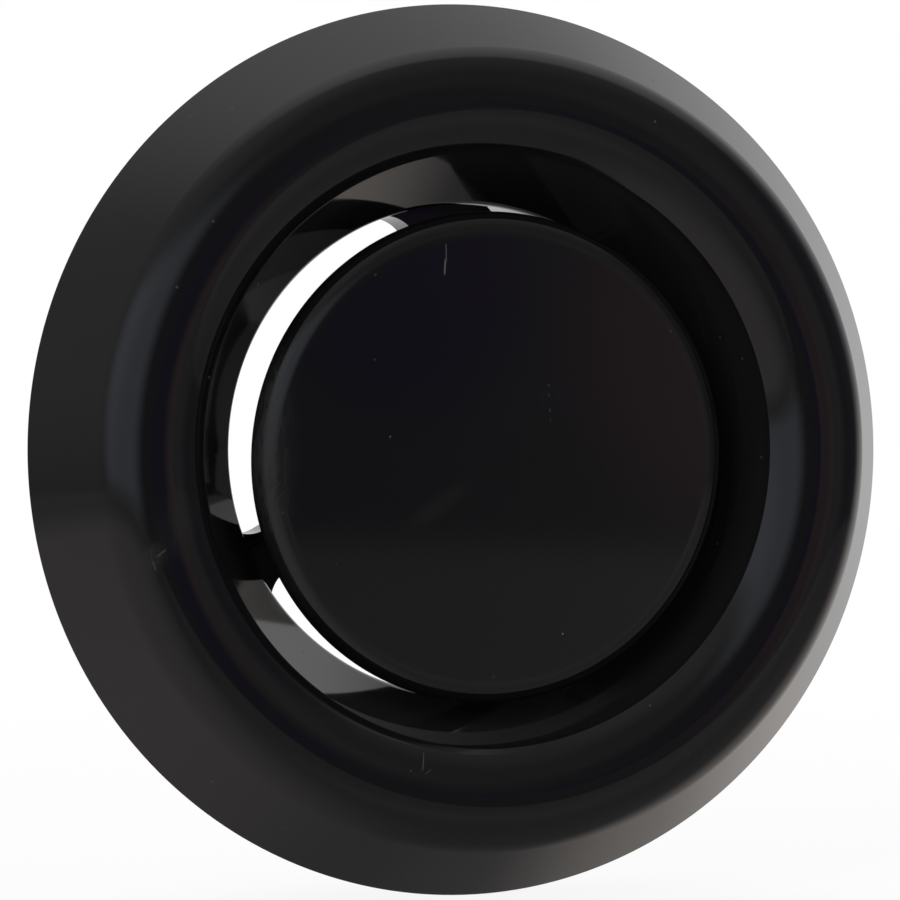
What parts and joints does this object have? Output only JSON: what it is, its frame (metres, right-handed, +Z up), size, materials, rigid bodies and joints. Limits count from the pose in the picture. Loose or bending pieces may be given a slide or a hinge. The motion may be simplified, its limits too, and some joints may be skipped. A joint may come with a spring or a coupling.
{
  "type": "extract air valve",
  "caption": "Round extract air valve: bulged rim, funnel and a screw-adjusted centre disc that sets the ring-shaped air gap; a rear spigot pushes into the duct.",
  "frame": {"origin": "centre of the rim's back plane, on the axis of the rim and spigot, where the valve meets the wall", "axes": "+Z up, the valve's face looks along -Y into the room, the spigot points along +Y into the duct"},
  "size_m": [0.15, 0.0614, 0.15],
  "materials": {
    "body_plastic": "satin",
    "disc_plastic": "satin",
    "screw_plastic": "moulded",
    "washer_rubber": "matt",
    "foam": "closed-cell foam"
  },
  "bodies": {
    "housing": {"valve_body": "body_plastic", "flange_gasket": "foam"},
    "disc_carrier": {"disc_washer": "washer_rubber"},
    "disc": {"centre_disc": "disc_plastic", "spindle": "screw_plastic"},
    "nut_carrier": {"lock_washer": "washer_rubber"},
    "nut": {"lock_nut": "screw_plastic"}
  },
  "joints": [
    {"name": "disc_travel", "type": "slide", "parent": "housing", "child": "disc_carrier", "axis": [0, -0.999, -0.0454], "range_m": [-0.008, 0.01]},
    {"name": "disc_turn", "type": "hinge", "parent": "disc_carrier", "child": "disc", "pos_m": [0, 0.016, 0], "axis": [0, -0.999, -0.0454], "range_deg": [-720, 900]},
    {"name": "nut_travel", "type": "slide", "parent": "housing", "child": "nut_carrier", "axis": [0, -0.999, -0.0454], "range_m": [-0.008, 0]},
    {"name": "nut_turn", "type": "hinge", "parent": "nut_carrier", "child": "nut", "pos_m": [0, 0.016, 0], "axis": [0, -0.999, -0.0454], "range_deg": [-720, 0]}
  ],
  "couplings": [
    {"joint": "disc_travel", "follows": "disc_turn", "m_per_rad": 0.0006366},
    {"joint": "nut_travel", "follows": "nut_turn", "m_per_rad": 0.0006366}
  ]
}
